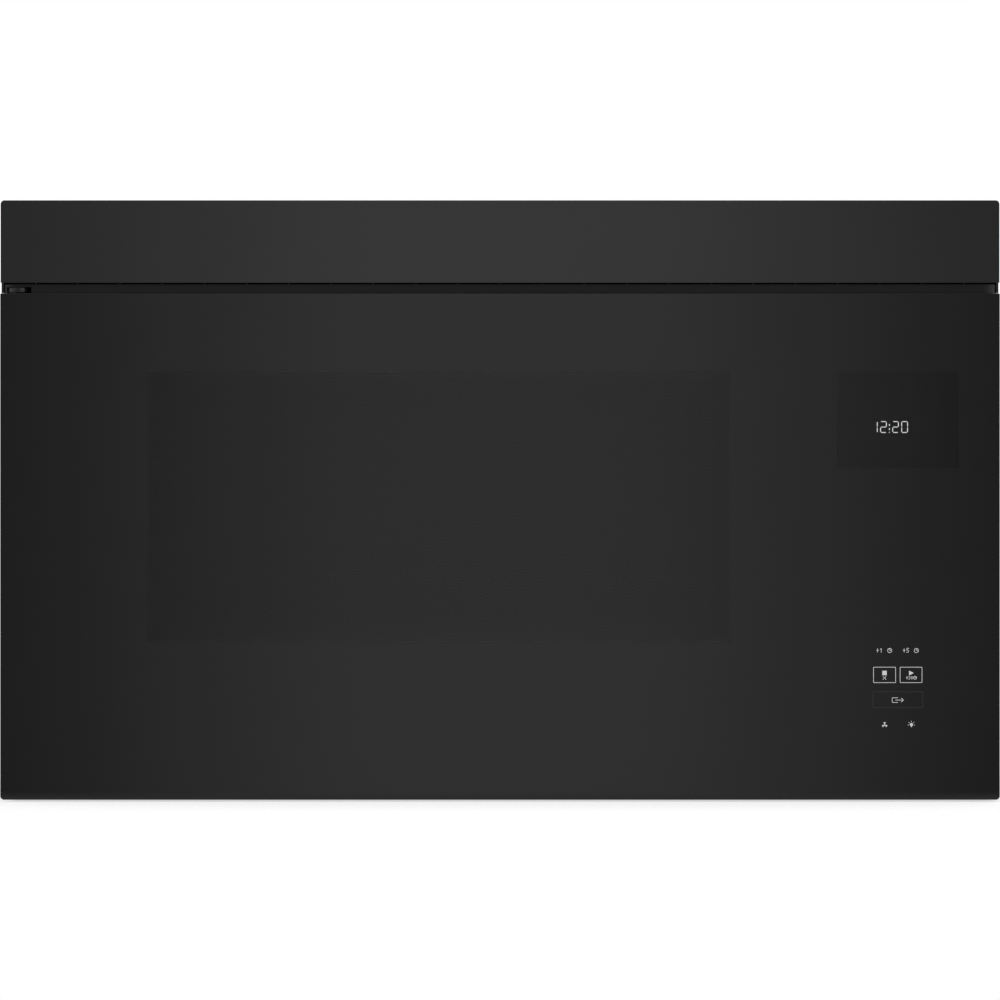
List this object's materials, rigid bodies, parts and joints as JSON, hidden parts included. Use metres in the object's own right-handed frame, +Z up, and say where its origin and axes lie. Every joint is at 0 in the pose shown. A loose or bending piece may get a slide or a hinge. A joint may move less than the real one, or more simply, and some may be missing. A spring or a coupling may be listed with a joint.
{
  "type": "built-in microwave oven",
  "caption": "Wide flush-glass microwave oven with a left-hinged door, touch controls in the glass, a top vent panel, a hood floor and a wall plate.",
  "frame": {"origin": "middle of the underside, under the middle of the overall box", "axes": "+X to the viewer's right, +Y back to the wall, +Z up; the glass front faces -Y"},
  "size_m": [0.76, 0.372, 0.4568],
  "materials": {
    "outer_case": "satin black powder coat",
    "base_plate": "satin black powder coat",
    "front_plate": "satin black",
    "rear_panel": "zinc-plated sheet",
    "wall_plate": "zinc-plated sheet",
    "cavity_liner": "grey enamel",
    "ceramic_floor": "matt glass-ceramic",
    "cavity_lamp": "lamp housing and bulb",
    "waveguide": "zinc-plated sheet",
    "stirrer_motor": "plated can",
    "magnetron": "plated yoke with aluminium fins",
    "transformer_core": "varnished laminations",
    "transformer_windings": "varnished copper and paper",
    "capacitor": "drawn can",
    "noise_filter_board": "circuit board with parts",
    "power_board": "circuit board with parts",
    "fan_shroud": "moulded",
    "fan_motor": "motor can",
    "air_guide": "zinc-plated sheet",
    "blower_housing": "zinc-plated sheet",
    "blower_motor": "motor can",
    "damper_frame": "zinc-plated sheet",
    "charcoal_filter": "perforated card and carbon",
    "vent_grille": "moulded black",
    "vent_panel": "satin black",
    "vent_panel_screws": "black screws",
    "plenum_cover": "zinc-plated sheet",
    "task_lamps": "lamp trays",
    "task_lamp_lenses": "frosted",
    "latch_board": "moulded",
    "interlock_switches": "micro switches",
    "latch_solenoid": "wound coil",
    "upper_hinge_bracket": "black steel",
    "lower_hinge_bracket": "black steel",
    "case_screws": "dark plated screws",
    "cord_bushing": "moulded rubber",
    "thermal_cutouts": "thermal switches",
    "mount_nuts": "rivet nuts",
    "door_glass": "black printed gloss glass",
    "door_frame": "moulded black",
    "door_inner_trim": "moulded black",
    "choke_panel": "perforated enamelled steel",
    "choke_cover": "moulded",
    "inner_window": "clear inner pane",
    "display_module": "display block",
    "touch_board": "circuit board with parts",
    "control_cover": "moulded",
    "latch_hooks": "steel hooks",
    "hinge_bushes": "nylon bushes",
    "door_screws": "dark plated screws",
    "strike_slider": "steel slider",
    "stirrer": "pressed sheet",
    "cooling_fan": "moulded",
    "blower_wheels": "moulded squirrel-cage wheels",
    "damper_flap": "zinc-plated sheet",
    "grease_filter_left": "layered mesh",
    "grease_filter_right": "layered mesh",
    "switch_plunger_lower": "moulded",
    "switch_plunger_middle": "moulded",
    "switch_plunger_upper": "moulded"
  },
  "bodies": {
    "cabinet": {"outer_case": "outer_case", "base_plate": "base_plate", "front_plate": "front_plate", "rear_panel": "rear_panel", "wall_plate": "wall_plate", "cavity_liner": "cavity_liner", "ceramic_floor": "ceramic_floor", "cavity_lamp": "cavity_lamp", "waveguide": "waveguide", "stirrer_motor": "stirrer_motor", "magnetron": "magnetron", "transformer_core": "transformer_core", "transformer_windings": "transformer_windings", "capacitor": "capacitor", "noise_filter_board": "noise_filter_board", "power_board": "power_board", "fan_shroud": "fan_shroud", "fan_motor": "fan_motor", "air_guide": "air_guide", "blower_housing": "blower_housing", "blower_motor": "blower_motor", "damper_frame": "damper_frame", "charcoal_filter": "charcoal_filter", "vent_grille": "vent_grille", "vent_panel": "vent_panel", "vent_panel_screws": "vent_panel_screws", "plenum_cover": "plenum_cover", "task_lamps": "task_lamps", "task_lamp_lenses": "task_lamp_lenses", "latch_board": "latch_board", "interlock_switches": "interlock_switches", "latch_solenoid": "latch_solenoid", "upper_hinge_bracket": "upper_hinge_bracket", "lower_hinge_bracket": "lower_hinge_bracket", "case_screws": "case_screws", "cord_bushing": "cord_bushing", "thermal_cutouts": "thermal_cutouts", "mount_nuts": "mount_nuts"},
    "door": {"door_glass": "door_glass", "door_frame": "door_frame", "door_inner_trim": "door_inner_trim", "choke_panel": "choke_panel", "choke_cover": "choke_cover", "inner_window": "inner_window", "display_module": "display_module", "touch_board": "touch_board", "control_cover": "control_cover", "latch_hooks": "latch_hooks", "hinge_bushes": "hinge_bushes", "door_screws": "door_screws"},
    "strike_slider": {"strike_slider": "strike_slider"},
    "stirrer": {"stirrer": "stirrer"},
    "cooling_fan": {"cooling_fan": "cooling_fan"},
    "exhaust_wheels": {"blower_wheels": "blower_wheels"},
    "damper": {"damper_flap": "damper_flap"},
    "left_filter": {"grease_filter_left": "grease_filter_left"},
    "right_filter": {"grease_filter_right": "grease_filter_right"},
    "lower_plunger": {"switch_plunger_lower": "switch_plunger_lower"},
    "middle_plunger": {"switch_plunger_middle": "switch_plunger_middle"},
    "upper_plunger": {"switch_plunger_upper": "switch_plunger_upper"}
  },
  "joints": [
    {"name": "door_hinge", "type": "hinge", "parent": "cabinet", "child": "door", "pos_m": [-0.3675, -0.174, 0.19], "axis": [0, 0, -1], "range_deg": [0, 95]},
    {"name": "strike_lift", "type": "slide", "parent": "cabinet", "child": "strike_slider", "axis": [0, 0, 1], "range_m": [0, 0.005], "stiffness_N_per_m": 100, "springref_m": -0.01},
    {"name": "stirrer_spin", "type": "hinge", "parent": "cabinet", "child": "stirrer", "pos_m": [-0.0464, -0.0163, 0.094], "axis": [0, 0, 1], "continuous": true},
    {"name": "cooling_fan_spin", "type": "hinge", "parent": "cabinet", "child": "cooling_fan", "pos_m": [0.296, 0.157, 0.216], "axis": [0, 1, 0], "continuous": true},
    {"name": "exhaust_wheel_spin", "type": "hinge", "parent": "cabinet", "child": "exhaust_wheels", "pos_m": [0, 0.1087, 0.3905], "axis": [1, 0, 0], "continuous": true},
    {"name": "damper_lift", "type": "hinge", "parent": "cabinet", "child": "damper", "pos_m": [0, 0.14695, 0.4483], "axis": [-1, 0, 0], "range_deg": [0, 75]},
    {"name": "left_filter_drop", "type": "slide", "parent": "cabinet", "child": "left_filter", "axis": [0, 0, -1], "range_m": [0, 0.03]},
    {"name": "right_filter_drop", "type": "slide", "parent": "cabinet", "child": "right_filter", "axis": [0, 0, -1], "range_m": [0, 0.03]},
    {"name": "lower_plunger_press", "type": "slide", "parent": "cabinet", "child": "lower_plunger", "axis": [0, 1, 0], "range_m": [0, 0.0008], "stiffness_N_per_m": 500},
    {"name": "middle_plunger_press", "type": "slide", "parent": "cabinet", "child": "middle_plunger", "axis": [0, 1, 0], "range_m": [0, 0.0008], "stiffness_N_per_m": 500},
    {"name": "upper_plunger_press", "type": "slide", "parent": "cabinet", "child": "upper_plunger", "axis": [0, 1, 0], "range_m": [0, 0.0008], "stiffness_N_per_m": 500}
  ]
}
